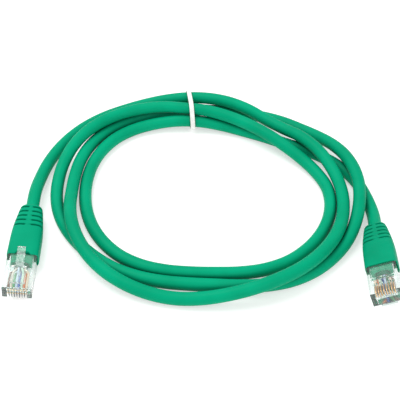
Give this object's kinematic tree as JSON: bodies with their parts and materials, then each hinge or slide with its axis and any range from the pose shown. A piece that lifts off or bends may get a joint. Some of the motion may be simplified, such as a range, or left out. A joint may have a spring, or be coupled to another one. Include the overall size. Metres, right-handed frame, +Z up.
{
  "type": "network patch cable",
  "caption": "Coiled flexible network patch cable held by a twist tie, with a clear modular plug and a ribbed strain-relief boot on each end.",
  "frame": {"origin": "middle of the footprint, on the table that the coil lies on", "axes": "+X across the coil from plug A to plug B, +Y away from the plugs towards the twist tie, +Z up"},
  "size_m": [0.1578, 0.136, 0.0193],
  "materials": {
    "jacket": "satin green PVC jacket",
    "boot": "satin green moulded boot",
    "clear_plug": "clear polycarbonate",
    "contact": "gold plated",
    "tie_cover": "white plastic ribbon",
    "tie_core": "soft steel wire",
    "wire_white_orange": "white insulation with an orange stripe",
    "wire_orange": "orange insulation",
    "wire_white_green": "white insulation with a green stripe",
    "wire_blue": "blue insulation",
    "wire_white_blue": "white insulation with a blue stripe",
    "wire_green": "green insulation",
    "wire_white_brown": "white insulation with a brown stripe",
    "wire_brown": "brown insulation"
  },
  "bodies": {
    "coil": {"cable_jacket": "jacket", "wire_white_orange": "wire_white_orange", "wire_orange": "wire_orange", "wire_white_green": "wire_white_green", "wire_blue": "wire_blue", "wire_white_blue": "wire_white_blue", "wire_green": "wire_green", "wire_white_brown": "wire_white_brown", "wire_brown": "wire_brown", "twist_tie": "tie_cover", "twist_tie_core": "tie_core"},
    "plug_a": {"housing_a": "clear_plug", "boot_a": "boot", "jacket_end_a": "jacket", "contact_a_1": "contact", "contact_a_2": "contact", "contact_a_3": "contact", "contact_a_4": "contact", "contact_a_5": "contact", "contact_a_6": "contact", "contact_a_7": "contact", "contact_a_8": "contact", "wire_end_a_white_orange": "wire_white_orange", "wire_end_a_orange": "wire_orange", "wire_end_a_white_green": "wire_white_green", "wire_end_a_blue": "wire_blue", "wire_end_a_white_blue": "wire_white_blue", "wire_end_a_green": "wire_green", "wire_end_a_white_brown": "wire_white_brown", "wire_end_a_brown": "wire_brown"},
    "latch_a": {"latch_a": "clear_plug"},
    "plug_b": {"housing_b": "clear_plug", "boot_b": "boot", "jacket_end_b": "jacket", "contact_b_1": "contact", "contact_b_2": "contact", "contact_b_3": "contact", "contact_b_4": "contact", "contact_b_5": "contact", "contact_b_6": "contact", "contact_b_7": "contact", "contact_b_8": "contact", "wire_end_b_white_orange": "wire_white_orange", "wire_end_b_orange": "wire_orange", "wire_end_b_white_green": "wire_white_green", "wire_end_b_blue": "wire_blue", "wire_end_b_white_blue": "wire_white_blue", "wire_end_b_green": "wire_green", "wire_end_b_white_brown": "wire_white_brown", "wire_end_b_brown": "wire_brown"},
    "latch_b": {"latch_b": "clear_plug"}
  },
  "joints": [
    {"name": "plug_a_swing", "type": "hinge", "parent": "coil", "child": "plug_a", "pos_m": [-0.07218, -0.01058, 0.0047], "axis": [0, 0, 1], "range_deg": [-20, 20], "stiffness_Nm_per_rad": 0.0005},
    {"name": "latch_a_press", "type": "hinge", "parent": "plug_a", "child": "latch_a", "pos_m": [-0.0718, -0.05568, 0.00828], "axis": [-0.9945, 0, 0.1045], "range_deg": [0, 13.5], "stiffness_Nm_per_rad": 0.0005},
    {"name": "plug_b_swing", "type": "hinge", "parent": "coil", "child": "plug_b", "pos_m": [0.07332, -0.02208, 0.0045], "axis": [0, 0, 1], "range_deg": [-20, 20], "stiffness_Nm_per_rad": 0.0005},
    {"name": "latch_b_press", "type": "hinge", "parent": "plug_b", "child": "latch_b", "pos_m": [0.07154, -0.06687, 0.01061], "axis": [0.9304, 0.013, 0.3664], "range_deg": [0, 13.5], "stiffness_Nm_per_rad": 0.0005}
  ]
}
